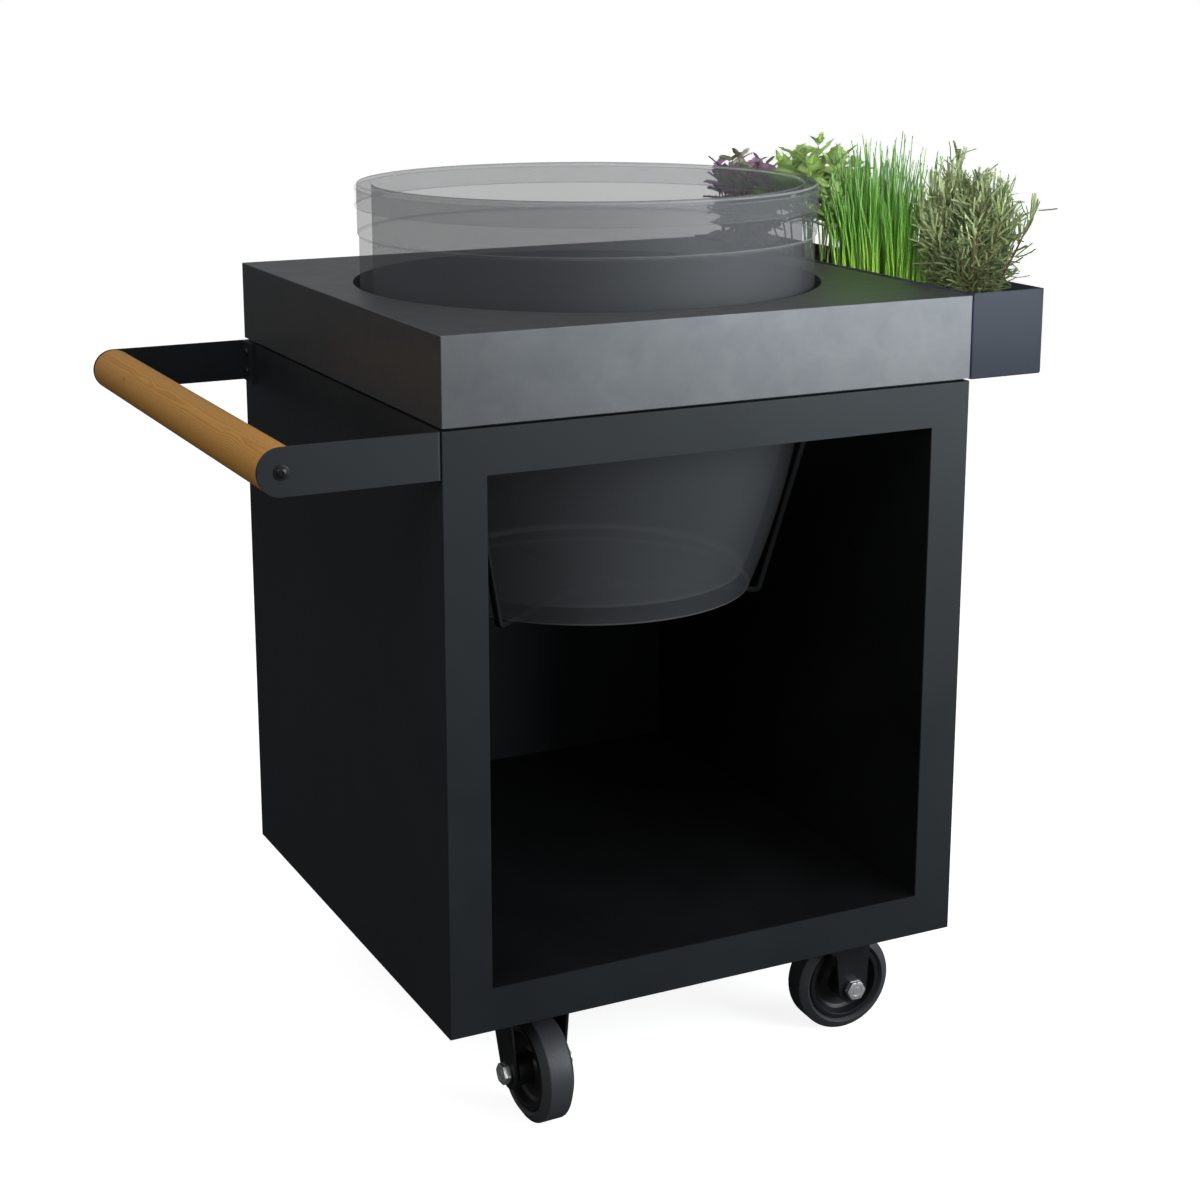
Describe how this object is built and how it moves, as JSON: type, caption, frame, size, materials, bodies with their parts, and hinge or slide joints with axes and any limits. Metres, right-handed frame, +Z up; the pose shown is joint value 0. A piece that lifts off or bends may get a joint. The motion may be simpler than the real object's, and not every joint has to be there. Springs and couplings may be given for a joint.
{
  "type": "kamado grill table",
  "caption": "Wheeled steel table with a round worktop cut-out and cradle for a kamado grill bowl, open storage bay, wooden push handle and side herb planter.",
  "frame": {"origin": "on the ground, below the middle of the whole table with its handle and planter", "axes": "+Z up, the open front faces -Y, the handle is at -X and the planter at +X"},
  "size_m": [0.9448, 0.6566, 1.096],
  "materials": {
    "cabinet_coat": "fine-textured matte black powder coat",
    "worktop_coat": "satin anthracite grey",
    "cradle_steel": "matte black",
    "planter_coat": "fine-textured slate powder coat",
    "oiled_wood": "oiled, fine straight grain with small knots",
    "black_screws": "black oxide",
    "zinc": "bright zinc plate",
    "caster_steel": "satin black",
    "wheel_core": "moulded black",
    "tyre": "solid dark grey rubber",
    "bowl_shell": "smoky see-through shell",
    "bowl_band": "smoky see-through band",
    "soil": "crumbly dark soil",
    "basil_leaf": "purple leaves",
    "mint_leaf": "light green leaves",
    "chive_leaf": "bright green blades",
    "rosemary_leaf": "grey-green needles"
  },
  "bodies": {
    "table": {"front_frame": "cabinet_coat", "back_panel": "cabinet_coat", "left_panel": "cabinet_coat", "right_panel": "cabinet_coat", "left_liner": "cabinet_coat", "right_liner": "cabinet_coat", "floor_panel": "cabinet_coat", "base_plate": "cabinet_coat", "top_plate": "cabinet_coat", "front_left_post": "cabinet_coat", "front_right_post": "cabinet_coat", "rear_left_post": "cabinet_coat", "rear_right_post": "cabinet_coat", "spacer_frame": "cabinet_coat", "worktop": "worktop_coat", "cradle": "cradle_steel", "cradle_bolts": "zinc", "handle_arm_front": "cabinet_coat", "handle_arm_rear": "cabinet_coat", "handle_grip": "oiled_wood", "grip_screws": "black_screws", "handle_bolts": "black_screws", "caster_bolts": "zinc", "caster_nuts": "zinc", "caster_front_left_mount": "caster_steel", "caster_front_right_mount": "caster_steel", "caster_rear_left_mount": "caster_steel", "caster_rear_right_mount": "caster_steel"},
    "bowl": {"grill_bowl": "bowl_shell", "bowl_band": "bowl_band"},
    "planter": {"planter_box": "planter_coat", "planter_hooks": "planter_coat", "planter_soil": "soil", "herb_basil": "basil_leaf", "herb_mint": "mint_leaf", "herb_chives": "chive_leaf", "herb_rosemary": "rosemary_leaf"},
    "front_left_swivel": {"caster_front_left_fork": "caster_steel", "caster_front_left_axle_bolt": "zinc", "caster_front_left_axle_nut": "zinc"},
    "front_left_wheel": {"caster_front_left_core": "wheel_core", "caster_front_left_tyre": "tyre"},
    "front_right_swivel": {"caster_front_right_fork": "caster_steel", "caster_front_right_axle_bolt": "zinc", "caster_front_right_axle_nut": "zinc"},
    "front_right_wheel": {"caster_front_right_core": "wheel_core", "caster_front_right_tyre": "tyre"},
    "rear_left_swivel": {"caster_rear_left_fork": "caster_steel", "caster_rear_left_axle_bolt": "zinc", "caster_rear_left_axle_nut": "zinc"},
    "rear_left_wheel": {"caster_rear_left_core": "wheel_core", "caster_rear_left_tyre": "tyre"},
    "rear_right_swivel": {"caster_rear_right_fork": "caster_steel", "caster_rear_right_axle_bolt": "zinc", "caster_rear_right_axle_nut": "zinc"},
    "rear_right_wheel": {"caster_rear_right_core": "wheel_core", "caster_rear_right_tyre": "tyre"}
  },
  "joints": [
    {"name": "bowl_lift", "type": "slide", "parent": "table", "child": "bowl", "axis": [0, 0, 1], "range_m": [0, 0.45]},
    {"name": "planter_lift", "type": "slide", "parent": "table", "child": "planter", "axis": [0, 0, 1], "range_m": [0, 0.016]},
    {"name": "front_left_turn", "type": "hinge", "parent": "table", "child": "front_left_swivel", "pos_m": [-0.15285, -0.225, 0.14], "axis": [0, 0, 1], "continuous": true},
    {"name": "front_left_roll", "type": "hinge", "parent": "front_left_swivel", "child": "front_left_wheel", "pos_m": [-0.14619, -0.26181, 0.0625], "axis": [0.9995, 0.0314, 0], "continuous": true},
    {"name": "front_right_turn", "type": "hinge", "parent": "table", "child": "front_right_swivel", "pos_m": [0.24715, -0.225, 0.14], "axis": [0, 0, 1], "continuous": true},
    {"name": "front_right_roll", "type": "hinge", "parent": "front_right_swivel", "child": "front_right_wheel", "pos_m": [0.28436, -0.22112, 0.0625], "axis": [0.0436, 0.999, 0], "continuous": true},
    {"name": "rear_left_turn", "type": "hinge", "parent": "table", "child": "rear_left_swivel", "pos_m": [-0.15285, 0.225, 0.14], "axis": [0, 0, 1], "continuous": true},
    {"name": "rear_left_roll", "type": "hinge", "parent": "rear_left_swivel", "child": "rear_left_wheel", "pos_m": [-0.11996, 0.24282, 0.0625], "axis": [-0.342, 0.9397, 0], "continuous": true},
    {"name": "rear_right_turn", "type": "hinge", "parent": "table", "child": "rear_right_swivel", "pos_m": [0.24715, 0.225, 0.14], "axis": [0, 0, 1], "continuous": true},
    {"name": "rear_right_roll", "type": "hinge", "parent": "rear_right_swivel", "child": "rear_right_wheel", "pos_m": [0.27041, 0.19571, 0.0625], "axis": [0.866, 0.5, 0], "continuous": true}
  ]
}
